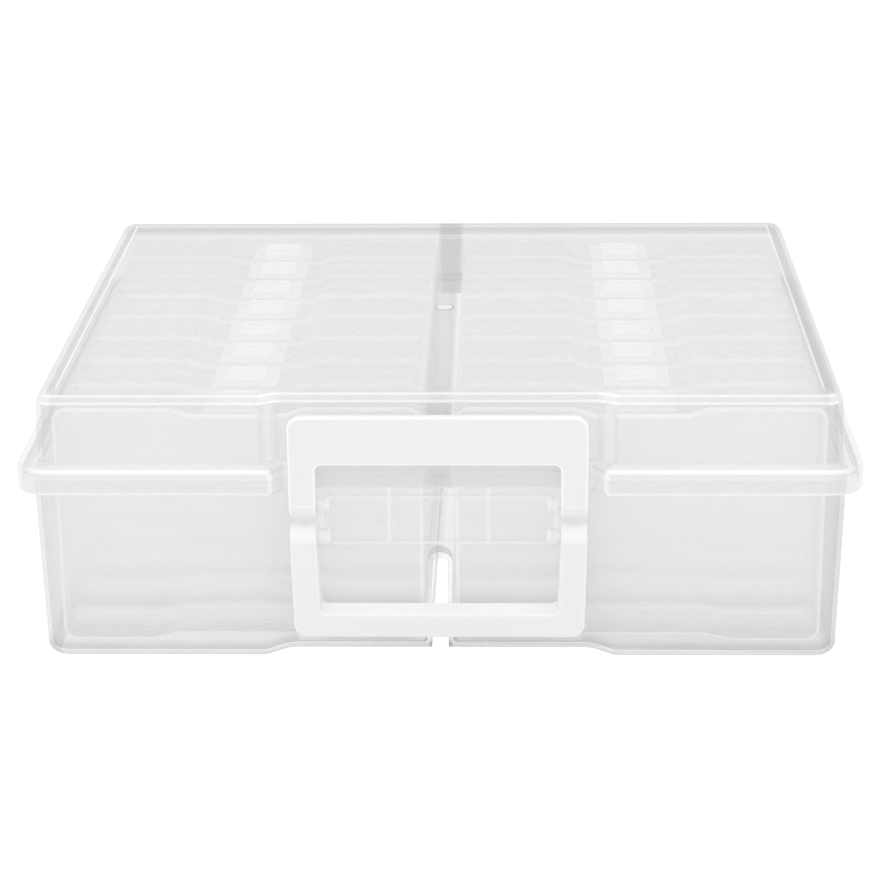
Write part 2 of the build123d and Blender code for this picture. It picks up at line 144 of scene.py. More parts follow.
class Skin:
    """Gathers surfaces, in metres, and makes one mesh object of them."""

    def __init__(self):
        self.points = []
        self.faces = []
        self.shine = []
        self.count = 0

    def add(self, points, faces, shine):
        """Adds vertices, faces that count from the first of them, and a shine from -1 to 1 for each face:
        a painted highlight above zero and a painted shade below.
        """
        self.points.append(np.asarray(points, float).reshape(-1, 3))
        self.faces += [[int(i) + self.count for i in face] for face in faces]
        self.shine += list(shine)
        self.count += len(self.points[-1])

    def tube(self, rings, shine, cap=0.0, flip=False):
        """A grid of closed rings, (rows, columns, 3): each cell joins column j to j + 1 and row i to i + 1.

        shine has one value for each band between two rows, or one for each cell. The first and the last
        ring are each closed by one flat face with the shine cap.
        """
        rows, columns = rings.shape[:2]
        row, column = np.meshgrid(np.arange(rows - 1), np.arange(columns), indexing="ij")
        here = row * columns + column
        beside = row * columns + (column + 1) % columns
        quads = np.stack([here, beside, beside + columns, here + columns], -1).reshape(-1, 4)
        shine = np.asarray(shine, float)
        if shine.ndim < 2:
            shine = np.broadcast_to(shine, rows - 1)[:, None]
        first = list(range(columns))[::-1]
        last = list(range((rows - 1) * columns, rows * columns))
        faces = quads.tolist() + [first, last]
        values = np.broadcast_to(shine, (rows - 1, columns)).ravel().tolist() + [cap, cap]
        if flip:
            faces = [face[::-1] for face in faces]
        self.add(rings, faces, values)

    def slab(self, corners, radii, low, high, rounding, stand, steps, shine, face):
        """A plate between two heights: its outline's inset and height follow a quarter turn at each edge.

        Its edges have one shine, and its two flat faces another.
        """
        across, along = quarter(rounding, 0, 90, 4)
        inset = np.concatenate([across[::-1], across])
        height = np.concatenate([low + rounding - along[::-1], high - rounding + along])
        bands = np.full(len(height) - 1, shine)
        bands[len(across) - 1] = face
        self.tube(stand(raised(rounded_outline(corners, radii, inset, steps), height)), bands, face)

    def bar(self, low, high, rounding, shine=1.0, face=0.0):
        """A rounded block between two corners, carried round its plan as a slab is."""
        (u0, v0, w0), (u1, v1, w1) = low, high
        corners = ((u0, v0), (u1, v0), (u1, v1), (u0, v1))
        self.slab(corners, rounding, w0, w1, rounding, upright, 4, shine, face)

    def disc(self, centre, radius, low, high, rounding, stand=facing_side, steps=8, shine=1.0, face=0.0):
        """A round: a square outline whose corners are arcs of very nearly half its side."""
        u, v = centre
        corners = [(u + a * radius, v + b * radius) for a, b in SQUARE]
        nearly = 0.9999
        self.slab(corners, radius * nearly, low, high, rounding, stand, steps, shine, face)

    def cup(
        self, corners, radii, mouth, depth, wall, edge, rim, draft, stand, steps, shine,
        belt=(), upper=0.0, rest=1.0, flip=False,
    ):
        """A hollow plate with its mouth at one height and its base at mouth + depth.

        Its profile is carried round the outline: from the hollow's base along a quarter turn, down the
        hollow's wall, round the rim, up the outer wall, which leans in by draft for each unit of height
        and has a further row at each height in belt, and along a larger quarter turn to the outer base.
        The walls that face up along v get the shine upper, and the base's edge keeps only the share rest of
        its shine where it doesn't face down.
        """
        hollow = max(edge - wall, 0.3 * wall)
        inner_across, inner_along = quarter(hollow, 90, 0)
        rim_across, rim_along = quarter(rim, 0, 90, 4)
        outer_across, outer_along = quarter(edge, 0, 90, 7)
        inner_top = depth - wall - hollow
        outer_top = depth - edge
        belt = np.asarray(belt, float)
        profile = (
            (wall + draft * inner_top + inner_across, inner_top + inner_along),
            (wall - rim_across, rim - rim_along),
            (rim_across[::-1], (rim - rim_along)[::-1]),
            (draft * belt, belt),
            (draft * outer_top + outer_across, outer_top + outer_along),
        )
        inset, height = (np.concatenate(part) for part in zip(*profile))
        outline = rounded_outline(corners, radii, inset, steps)
        bands = np.zeros(len(height) - 1)
        bands[: len(inner_along) - 1] = shine[0]
        bands[len(inner_along) : len(inner_along) + 2 * len(rim_along) - 1] = shine[1]
        bands[-len(outer_along) + 1 :] = shine[2]
        run = np.roll(outline, -1, axis=1) - outline
        level = run[:-1, :, 0] / np.linalg.norm(run[:-1], axis=-1)
        cells = bands[:, None] + upper * np.clip(-level, 0, 1) ** 2 * (bands == 0)[:, None]
        edge_rows = slice(-len(outer_along) + 1, None)
        cells[edge_rows] *= rest + (1 - rest) * np.clip(level[edge_rows], 0, 1) ** 2
        self.tube(stand(raised(outline, mouth + height)), cells, flip=flip)

    def piece(self, name, material, offset=(0, 0, 0), airy=False):
        """One object at the origin, with its place in its mesh and the shine of each face as an attribute."""
        mesh = bpy.data.meshes.new(name)
        points = np.concatenate(self.points) + np.asarray(offset)
        mesh.from_pydata(points.tolist(), [], self.faces)
        shine = mesh.attributes.new("shine", "FLOAT", "FACE")
        shine.data.foreach_set("value", np.asarray(self.shine, np.float32))
        return finished(name, mesh, material, airy)


def placed(name, data):
    """A new object of some data, at the origin of the scene."""
    thing = bpy.data.objects.new(name, data)
    bpy.context.scene.collection.objects.link(thing)
    return thing


def finished(name, mesh, material, airy=False):
    """Smooths a mesh between its hard edges, gives it its material and puts it in the scene.

    An airy piece lets all of the studio's light through, as clear plastic with slight walls nearly does.
    """
    hard = math.radians(38)
    mesh.shade_smooth()
    mesh.set_sharp_from_angle(angle=hard)
    mesh.materials.append(material)
    mesh.validate()
    piece = placed(name, mesh)
    even = piece.modifiers.new("even_shading", "WEIGHTED_NORMAL")
    even.keep_sharp = True
    piece.visible_shadow = not airy
    piece.visible_diffuse = not airy
    return piece


def notched_corners(half_width, front, back, notch_half, depth, ramp):
    """Corners of a rectangle whose front edge steps back round the recess."""
    left = ((-half_width, front), (-notch_half - ramp, front), (-notch_half, front + depth))
    right = [(-x, y) for x, y in left[::-1]]
    return (*left, *right, (half_width, back), (-half_width, back))


# ---------------- materials


class Wire:
    """A node's output that takes part in arithmetic. Each operator adds a Math node."""

    def __init__(self, paint, socket):
        self.paint = paint
        self.socket = socket

    def math(self, operation, *values):
        """A Math node over this output and the given values."""
        return self.paint.node("ShaderNodeMath", dict(enumerate((self,) + values)), operation=operation)

    def __add__(self, other):
        return self.math("ADD", other)

    __radd__ = __add__

    def __mul__(self, other):
        return self.math("MULTIPLY", other)

    def __sub__(self, other):
        return self.math("SUBTRACT", other)

    def __rsub__(self, other):
        return self.paint.node("ShaderNodeMath", {0: other, 1: self}, operation="SUBTRACT")


class Paint:
    """A node tree that is filled from Python expressions."""

    def __init__(self, tree):
        self.tree = tree
        tree.nodes.clear()

    @classmethod
    def material(cls, name):
        """A new material and its empty tree."""
        material = bpy.data.materials.new(name)
        material.use_nodes = True
        return material, cls(material.node_tree)

    def node(self, kind, inputs=None, output=0, **settings):
        """Adds a node, makes its settings, fills or links its inputs, and returns one of its outputs."""
        node = self.tree.nodes.new(kind)
        for key, value in settings.items():
            setattr(node, key, value)
        for key, value in (inputs or {}).items():
            socket = self.find(node.inputs, key)
            if isinstance(value, Wire):
                self.tree.links.new(value.socket, socket)
            else:
                socket.default_value = value
        return Wire(self, self.find(node.outputs, output)) if node.outputs else None

    @staticmethod
    def find(sockets, key):
        """The socket of that number, of that identifier, or else of that name."""
        if isinstance(key, int):
            return sockets[key]
        named = [s for s in sockets if s.identifier == key] or [s for s in sockets if s.name == key]
        return named[0]

    def place(self):
        """The point on the piece, in metres."""
        return self.node("ShaderNodeTexCoord", output="Object")

    def grain(self, scale, detail, roughness, stretch=None):
        """A noise from 0 to 1 of about scale spots in a metre, times stretch along each axis."""
        where = self.place()
        if stretch:
            where = self.node("ShaderNodeMapping", {"Vector": where, "Scale": stretch}, vector_type="POINT")
        inputs = {"Vector": where, "Scale": scale, "Detail": detail, "Roughness": roughness}
        return self.node("ShaderNodeTexNoise", inputs, noise_dimensions="3D")

    def part(self, axis):
        """One coordinate of the point on the piece."""
        return self.node("ShaderNodeSeparateXYZ", {"Vector": self.place()}, axis)

    def attribute(self, name):
        """A value that each face carries, zero on a mesh that has none of that name."""
        return self.node("ShaderNodeAttribute", output="Fac", attribute_name=name)

    def blend(self, factor, first, second):
        """A colour between two colours."""
        inputs = {"Factor_Float": factor, "A_Color": first, "B_Color": second}
        return self.node("ShaderNodeMix", inputs, "Result_Color", data_type="RGBA", clamp_factor=True)

    def span(self, value, low, high, first, last):
        """A value that goes smoothly from first to last as the input goes from low to high."""
        inputs = {"Value": value, "From Min": low, "From Max": high, "To Min": first, "To Max": last}
        return self.node("ShaderNodeMapRange", inputs, interpolation_type="SMOOTHSTEP")

    def bump(self, height, distance, strength):
        """A normal bent by a height."""
        return self.node("ShaderNodeBump", {"Height": height, "Distance": distance, "Strength": strength})

    def surface(self, shader):
        """Makes a shader the surface."""
        self.node("ShaderNodeOutputMaterial", {"Surface": shader})


def opaque(colour):
    """A colour with an alpha of one."""
    return (*colour, 1.0)


def clear_plastic(name, look):
    """Moulded clear plastic: sheer and pale over its walls, with painted highlights and painted shades.

    Alpha is a base share plus the face's shine and shade, with a faint cloud of noise and more near the
    table, and less by the share of the face's shadow lift, a painted light where the latch and the handle
    shade the walls. The colour goes to the highlight colour by the shine, partly the real brightness of a
    wall's edge seen end on and partly painted highlight; to the shade's colour, a painted shade, where the
    shine is below zero and over the gap between the columns; and to a painted shade near the table. The flow
    of the melt shows as a long shallow wave in the normal.
    """
    material, paint = Paint.material(name)
    shine = paint.attribute("shine").math("MAXIMUM", 0.0)
    # Painted shade: a dark strip along the middle, where the gap between the columns shows through.
    across = paint.part("X").math("ABSOLUTE")
    middle = paint.span(across, look.middle_half, look.middle_half + look.middle_fade, look.middle_shade, 0.0)
    # Painted shade where the shine is below zero, and the middle strip where there is no painted highlight.
    shade = (paint.attribute("shine") * -1.0).math("MAXIMUM", 0.0) + middle * (1.0 - shine)
    cloud = paint.grain(scale=38.0, detail=3.0, roughness=0.55)
    flow = paint.grain(scale=16.0, detail=1.5, roughness=0.4, stretch=(1.0, 1.0, 2.6))
    least_cover, rougher, wave_height = 0.02, 0.08, 0.6 * MM
    height = paint.part("Z")
    # Painted shade near the table: the walls darken and cover more towards the foot.
    foot = paint.span(height, 0.5 * look.foot_height, look.foot_height, 1.0, 0.0)
    wall = paint.blend(foot, opaque(look.colour), opaque(look.foot_colour))
    # Painted highlight: the shine blends towards the highlight colour, partly the real brightness of an edge
    # seen end on.
    colour = paint.blend(shine, wall, opaque(look.highlight_colour))
    colour = paint.blend(shade, colour, opaque(look.shade_colour))
    alpha = look.alpha + (cloud - 0.5) * look.cloud + (shine + shade) * (look.edge_alpha - look.alpha)
    # Less cover by the face's shadow lift, a painted light where the latch and the handle shade the walls.
    alpha = (alpha + foot * look.foot_alpha * (1.0 - shine)) * (1.0 - paint.attribute("shadow_lift"))
    body = paint.node(
        "ShaderNodeBsdfPrincipled",
        {
            "Base Color": colour,
            "Roughness": look.roughness + cloud * rougher,
            "Alpha": alpha.math("MAXIMUM", least_cover),
            "Normal": paint.bump(flow, wave_height, look.wave),
            "IOR": STYRENE_IOR,
            "Specular IOR Level": look.gloss,
        },
    )
    glare = paint.node("ShaderNodeBsdfGlossy", {"Color": WHITE, "Roughness": 0.12})
    graze = paint.node("ShaderNodeLayerWeight", {"Blend": 0.5}, "Facing")
    steepness = 5.0
    sheen = graze.math("POWER", steepness) * (1.0 - foot) * look.glare
    paint.surface(paint.node("ShaderNodeMixShader", {0: sheen, 1: body, 2: glare}))
    return material


def white_plastic(name, look):
    """Opaque white moulding: a fine spark-eroded grain in the normal, faint clouds in colour and gloss,
    and painted highlights where each face's shine blends the colour to the highlight colour and makes it
    smoother.
    """
    material, paint = Paint.material(name)
    shine = paint.attribute("shine")
    fine = paint.grain(scale=2600.0, detail=2.0, roughness=0.6)
    cloud = paint.grain(scale=24.0, detail=3.0, roughness=0.5)
    rougher, smoother, grain_height = 0.1, 0.08, 0.05 * MM
    colour = paint.blend(cloud, opaque(look.colour), opaque(look.shade))
    # Painted highlight: each face's shine blends the colour towards the highlight colour.
    colour = paint.blend(shine, colour, opaque(look.highlight_colour))
    body = paint.node(
        "ShaderNodeBsdfPrincipled",
        {
            "Base Color": colour,
            "Roughness": look.roughness + cloud * rougher - shine * smoother,
            "Normal": paint.bump(fine, grain_height, look.grain),
            "IOR": STYRENE_IOR,
        },
    )
    paint.surface(body)
    return material


# ---------------- sizes and colours


def length(name, description, default):
    """A length property whose default is given in millimetres."""
    return FloatProperty(name=name, description=description, default=default * MM, unit="LENGTH", precision=5)


def amount(name, description, default):
    """A plain share of one."""
    return FloatProperty(name=name, description=description, default=default, min=0.0, max=1.0)


def gleam(name, place, default):
    """The shine of a place, from minus one for a full shade to one."""
    description = f"Shine of {place}, below zero for a shade"
    return FloatProperty(name=name, description=description, default=default, min=-1.0, max=1.0)


def tint(name, description, default):
    """A linear colour."""
    return FloatVectorProperty(
        name=name, description=description, default=default, subtype="COLOR", size=3, min=0.0, max=1.0
    )


def tilt(name, description, default):
    """An angle in radians."""
    return FloatProperty(name=name, description=description, default=default, subtype="ANGLE")


class ClearLook:
    """The finish of a clear moulding, with its painted highlights and painted shades."""

    colour: tint("Wall colour", "Colour of the plastic seen flat on", (0.68, 0.683, 0.686))
    # Painted highlight: the colour that a shine above zero blends to, partly the real brightness of an edge
    # seen end on.
    highlight_colour: tint("Edge colour", "Colour of the plastic seen end on", (1.0, 1.0, 1.0))
    # Painted shade near the table.
    foot_colour: tint("Foot colour", "Colour of the plastic near the table", (0.4, 0.4, 0.405))
    # Painted shade: the colour where the shine is below zero and over the middle strip.
    shade_colour: tint("Shade colour", "Colour of the plastic where it bends away", (0.44, 0.443, 0.447))
    alpha: amount("Wall cover", "How much of what is behind one surface is covered", 0.16)
    # Cover of the painted highlights and shades.
    edge_alpha: amount("Edge cover", "How much an edge covers", 0.7)
    # More cover in the painted shade near the table.
    foot_alpha: amount("Foot cover", "How much more the foot of the walls covers", 0.1)
    cloud: amount("Cloud", "Change in cover over a wall", 0.05)
    # Painted shade: a dark strip along the middle, where the gap between the columns shows through.
    middle_shade: amount("Middle shade", "Shade over the gap between the two columns", 0.12)
    middle_half: length("Middle half width", "Half the width of that shade", 0.8)
    middle_fade: length("Middle fade", "Width over which it fades", 2.0)
    foot_height: length("Foot height", "How far up the foot's shade reaches", 10.0)
    roughness: amount("Roughness", "Roughness of the surface", 0.16)
    wave: amount("Wave", "Strength of the melt's flow in the surface", 0.25)
    gloss: amount("Gloss", "Specular level of the body", 0.15)
    glare: amount("Glare", "Share of the clear surface's own reflection", 0.12)


def again(key, default):
    """A property of ClearLook with another default."""
    first = ClearLook.__annotations__[key]
    return first.function(**{**first.keywords, "default": default})


class KeeperTubLook(ClearLook, PropertyGroup):
    """The finish of the tub."""


class KeeperLidLook(ClearLook, PropertyGroup):
    """The finish of the lid, which covers less than the tub."""

    colour: again("colour", (0.56, 0.563, 0.566))
    alpha: again("alpha", 0.12)
    # Painted shade: a darker strip along the lid's middle, which turns with the lid when it opens.
    middle_shade: again("middle_shade", 0.31)
    middle_half: again("middle_half", 4.2 * MM)
    middle_fade: again("middle_fade", 3.0 * MM)
    edge_alpha: again("edge_alpha", 0.8)


class KeeperSnapLook(ClearLook, PropertyGroup):
    """The finish of the snap cases, which are paler."""

    colour: again("colour", (0.94, 0.94, 0.94))
    foot_colour: again("foot_colour", (0.7, 0.7, 0.705))
    shade_colour: again("shade_colour", (0.5, 0.503, 0.507))
    edge_alpha: again("edge_alpha", 0.75)
    cloud: again("cloud", 0.04)
    middle_shade: again("middle_shade", 0.0)
    foot_height: again("foot_height", 16.0 * MM)
    roughness: again("roughness", 0.22)
    glare: again("glare", 0.2)


class KeeperGripLook(PropertyGroup):
    """The finish of the latch and the handle, with their painted highlights."""

    colour: tint("Colour", "Colour of the white plastic", (0.9, 0.9, 0.9))
    shade: tint("Shade", "Colour of its faint clouds", (0.87, 0.87, 0.872))
    # Painted highlight: the colour that each face's shine blends to.
    highlight_colour: tint("Edge colour", "Colour of its rounded edges", (1.0, 1.0, 1.0))
    roughness: amount("Roughness", "Roughness of the surface", 0.38)
    grain: amount("Grain", "Strength of the fine grain", 0.2)


class KeeperTub(PropertyGroup):
    """Sizes of the tub's rounded edges, and its painted highlights and painted shades."""

    bevel: length("Edge rounding", "Rounding of the tub's hard edges", 0.5)
    rear: length("Rear", "How far back the edges are rounded", 143.5)
    # Painted highlights above zero and painted shades below; the right side is shaded more than the left.
    bend_shine: gleam("Bend shine", "the S-curves at the recess", 0.04)
    side_shine: gleam("Side shine", "the sides and outer corners", -0.25)
    right_shine: gleam("Right shine", "the right side and its corners", -0.5)
    roof_shine: gleam("Roof shine", "the tunnel's roof", -0.15)
    edge_shine: amount("Edge shine", "Shine of the rounded edges", 0.7)
    foot_line: length("Foot line", "Height below which the edges are the foot's", 5.0)
    foot_shine: gleam("Foot shine", "the foot's rounding", -0.25)
    mouth_half: length("Mouth half width", "Half the width of the tunnel's mouth and its edge", 7.5)
    mouth_height: length("Mouth height", "Height of the tunnel's mouth and its edge", 50.0)
    mouth_back: length("Mouth back", "How far back the dark mouth of the tunnel reaches", -131.0)
    mouth_shine: gleam("Mouth shine", "the tunnel's mouth", -0.8)
    boss: length("Boss radius", "Radius of the boss round each pivot", 3.8)
    bracket_half: length("Bracket half width", "Half the width of the bracket", 53.0)
    bracket_back: length("Bracket back", "How far back the bracket's faces reach", -143.0)
    rib_place: length("Rib place", "From the middle of the bracket to each rib", 22.0)
    rib_shine: amount("Rib shine", "Shine of the bracket's ribs", 0.9)
    front: length("Recess front", "How far forward the recess's wall reaches", -150.0)
    recess_half: length("Recess half width", "Half the width of that wall", 64.0)
    # Painted light: less cover, which lightens the recess wall and the bracket's plates where the latch and
    # the handle shade them.
    recess_shadow_lift: amount("Recess thinness", "How much less that wall and the bracket's plates cover", 0.4)


class KeeperLid(PropertyGroup):
    """Sizes of the lid."""

    wall: length("Wall", "Thickness of the lid", 2.0)
    skirt_height: length("Skirt height", "Height of the skirt", 11.7)
    skirt_radius: length("Skirt corner", "Corner radius of the skirt in plan", 15.0)
    skirt_curve: length("Skirt curve", "Radius of the S-curves at the recess", 3.2)
    skirt_edge: length("Skirt edge", "Rounding of the skirt's upper edge", 1.5)
    skirt_bead: length("Skirt bead", "Rounding of the skirt's lower edge", 0.9)
    recess_half: length("Recess half width", "Half the flat width of the skirt's recess", 67.3)
    recess_depth: length("Recess depth", "Depth of the skirt's recess", 9.3)
    recess_ramp: length("Recess ramp", "Width of each S-curve of the skirt's recess", 6.2)
    raised_side: length("Side inset", "From the skirt in to the raised shell at the sides", 8.8)
    raised_front: length("Front inset", "From the skirt in to the raised shell at the front", 8.8)
    raised_back: length("Back inset", "From the skirt in to the raised shell at the back", 9.6)
    raised_radius: length("Raised corner", "Corner radius of the raised shell in plan", 8.5)
    raised_curve: length("Raised curve", "Radius of the raised shell's S-curves", 8.0)
    raised_widening: length("Recess widening", "How much wider the raised shell's recess is", 4.7)
    raised_depth: length("Raised recess depth", "Depth of the raised shell's recess", 3.5)
    raised_ramp: length("Raised recess ramp", "Width of each S-curve of the raised shell", 5.2)
    raised_edge: length("Top rounding", "Rounding of the lid's top edge", 6.0)
    hollow_edge: length("Hollow rounding", "Rounding inside the lid's top edge", 5.0)
    root: length("Root rounding", "Rounding between the ledge and the raised shell", 0.8)
    draft: tilt("Draft", "Lean of the raised shell", math.radians(2.0))
    ledge: length("Ledge height", "Height of the ledge above the table", LEDGE_HEIGHT)
    recess_calm: amount("Recess calm", "How much less the skirt shines in the recess", 0.35)
    # Painted shade: the right side is darkened by this share.
    right_shade: amount("Right shade", "How much darker the right side is", 0.12)
    gate_back: length("Gate offset", "From the lid's middle forward to the mark of the mould's gate", 14.7)
    gate_radius: length("Gate radius", "Radius of the gate's ring", 3.9)
    hinge_spacing: length("Hinge spacing", "Distance between the rear hinges", 190.0)
    hinge_height: length("Hinge height", "Height of the hinge pins", PIVOT_HEIGHT["lid_hinge"])
    clip_radius: length("Clip radius", "Outer radius of the hinge clips", 3.3)
    clip_bore: length("Clip bore", "Bore of the hinge clips", 1.7)
    clip_width: length("Clip width", "Width of a hinge clip", 22.0)
    slot_width: length("Slot width", "Width of the skirt's slot at a hinge", 30.0)
    slot_top: length("Slot top", "Height of the slot's upper edge", PIVOT_HEIGHT["lid_hinge"] + 3.6)


class KeeperGrips(PropertyGroup):
    """Sizes that the latch and the handle share, and their own."""

    width: length("Width", "Width of the latch and the handle", 132.0)
    wall: length("Wall", "Thickness of their walls", 2.4)
    corner: length("Corner", "Radius of the outer corners", 6.0)
    edge: length("Edge", "Rounding of the front edges", 1.1)
    arm: length("Arm width", "Width of an arm", 12.0)
    pivot_radius: length("Pivot radius", "Radius of the arms' round ends", 6.2)
    pin_radius: length("Pin radius", "Radius of the pivot pins", 2.0)
    pin_reach: length("Pin reach", "How far a pin reaches in from its arm", 6.2)
    head: length("Pin head", "Length of the head that keeps a pin in its hole", 2.6)
    head_radius: length("Pin head radius", "Radius of that head", 3.6)
    rib: length("Rib", "Thickness of the ribs at the back", 1.6)
    ribs: IntProperty(name="Ribs", description="Number of ribs behind each bar", default=4, min=0)
    latch_pivot: length("Latch pivot", "Height of the latch's pivots", PIVOT_HEIGHT["latch_hinge"])
    latch_thickness: length("Latch thickness", "Depth of the latch from front to back", 8.0)
    latch_bar: length("Latch bar", "Height of the latch's bar", 22.6)
    latch_opening: length("Latch opening corner", "Radius of the latch's inner corners", 3.0)
    latch_chamfer: length("Latch chamfer", "Chamfer behind the latch bar's upper edge", 4.4)
    lip_low: length("Lip height", "Height of the lip's underside", LEDGE_HEIGHT + 0.3)
    lip_thickness: length("Lip thickness", "Thickness of the lip that hooks over the ledge", 3.0)
    lip_reach: length("Lip reach", "How far the lip reaches behind the bar", 3.2)
    lip_length: length("Lip length", "Length of the lip", 92.0)
    handle_pivot: length("Handle pivot", "Height of the handle's pivots", PIVOT_HEIGHT["handle_hinge"])
    handle_bar: length("Handle bar", "Height of the handle's bar", 11.4)
    handle_depth: length("Handle depth", "Depth of the handle from front to back", 13.0)
    handle_toe: length("Handle toe-in", "How far each arm leans in down to the bar", 1.1)
    handle_opening: length("Handle opening corner", "Radius of the handle's inner corners", 2.4)


class KeeperSnaps(PropertyGroup):
    """Sizes of a snap case."""

    wall: length("Wall", "Thickness of a half shell", 1.2)
    corner: length("Corner", "Radius of the outer corners", 7.0)
    edge: length("Edge", "Rounding of the face's edge", 1.8)
    rim: length("Rim", "Rounding of the rim", 0.35)
    seam: length("Seam", "Gap between the two half shells", 0.2)
    draft: tilt("Draft", "Lean of a half shell's walls", math.radians(1.6))
    # Painted shade on the walls that face up, which the lamps above light most.
    upper_shine: gleam("Upper shine", "the walls that face up", -0.3)
    notch_curve: length("Notch curve", "Radius of the curves at the notches", 3.5)
    tongue_notch: length("Tongue notch", "Width of the notch for the snap tongue", 42.0)
    tongue_depth: length("Tongue notch depth", "Depth of that notch", 3.0)
    tongue_ramp: length("Tongue ramp", "Width of each of its ramps", 8.0)
    hinge_notch: length("Hinge notch", "Width of the notch for the hinge", 58.0)
    hinge_depth: length("Hinge notch depth", "Depth of that notch", 2.8)
    hinge_ramp: length("Hinge ramp", "Width of each of its ramps", 13.0)
    tongue_width: length("Tongue width", "Width of the snap tongue", 18.4)
    tongue_length: length("Tongue length", "Reach of the tongue on each side of the seam", 8.2)
    tongue_thickness: length("Tongue thickness", "Thickness of the tongue", 1.2)
    ridge: length("Ridge", "Width and height of the tongue's ridges", 1.3)
    pocket_width: length("Pocket width", "Width of the pad under the tongue", 30.0)
    pocket_length: length("Pocket length", "Reach of that pad on each side of the seam", 13.4)
    pocket_thickness: length("Pocket thickness", "How far the pad stands up", 0.25)
    knuckle: length("Knuckle", "Radius of a hinge knuckle", 1.3)
    knuckle_length: length("Knuckle length", "Length of a hinge knuckle", 12.0)


class KeeperStage(PropertyGroup):
    """The floor, the lamps and the camera."""

    floor_colour: tint("Floor colour", "Colour that the floor throws back", (0.86, 0.86, 0.86))
    floor_size: FloatProperty(name="Floor size", description="Side of the floor", default=12.0, unit="LENGTH")
    sky: FloatProperty(name="Sky", description="Strength of the light from all round", default=0.9)
    top_power: FloatProperty(name="Top lamp", description="Power of the lamp above", default=9.0)
    front_power: FloatProperty(name="Front lamp", description="Power of the lamp in front", default=11.0)
    camera_place: FloatVectorProperty(
        name="Camera", description="Place of the camera", default=(0.031, -1.2217, 0.4936), unit="LENGTH"
    )
    camera_pitch: tilt("Pitch", "How far the camera looks down", 0.3473)
    camera_yaw: tilt("Yaw", "How far the camera looks to the right", -0.028)
    camera_roll: tilt("Roll", "Tilt of the camera", -0.0097)
    camera_lens: FloatProperty(name="Lens", description="Focal length in millimetres", default=106.57)


LOOKS = (
    ("keeper_tub_look", KeeperTubLook),
    ("keeper_lid_look", KeeperLidLook),
    ("keeper_snap_look", KeeperSnapLook),
    ("keeper_grip_look", KeeperGripLook),
    ("keeper_tub", KeeperTub),
    ("keeper_lid", KeeperLid),
    ("keeper_grips", KeeperGrips),
    ("keeper_snaps", KeeperSnaps),
    ("keeper_stage", KeeperStage),
)


# ---------------- pieces


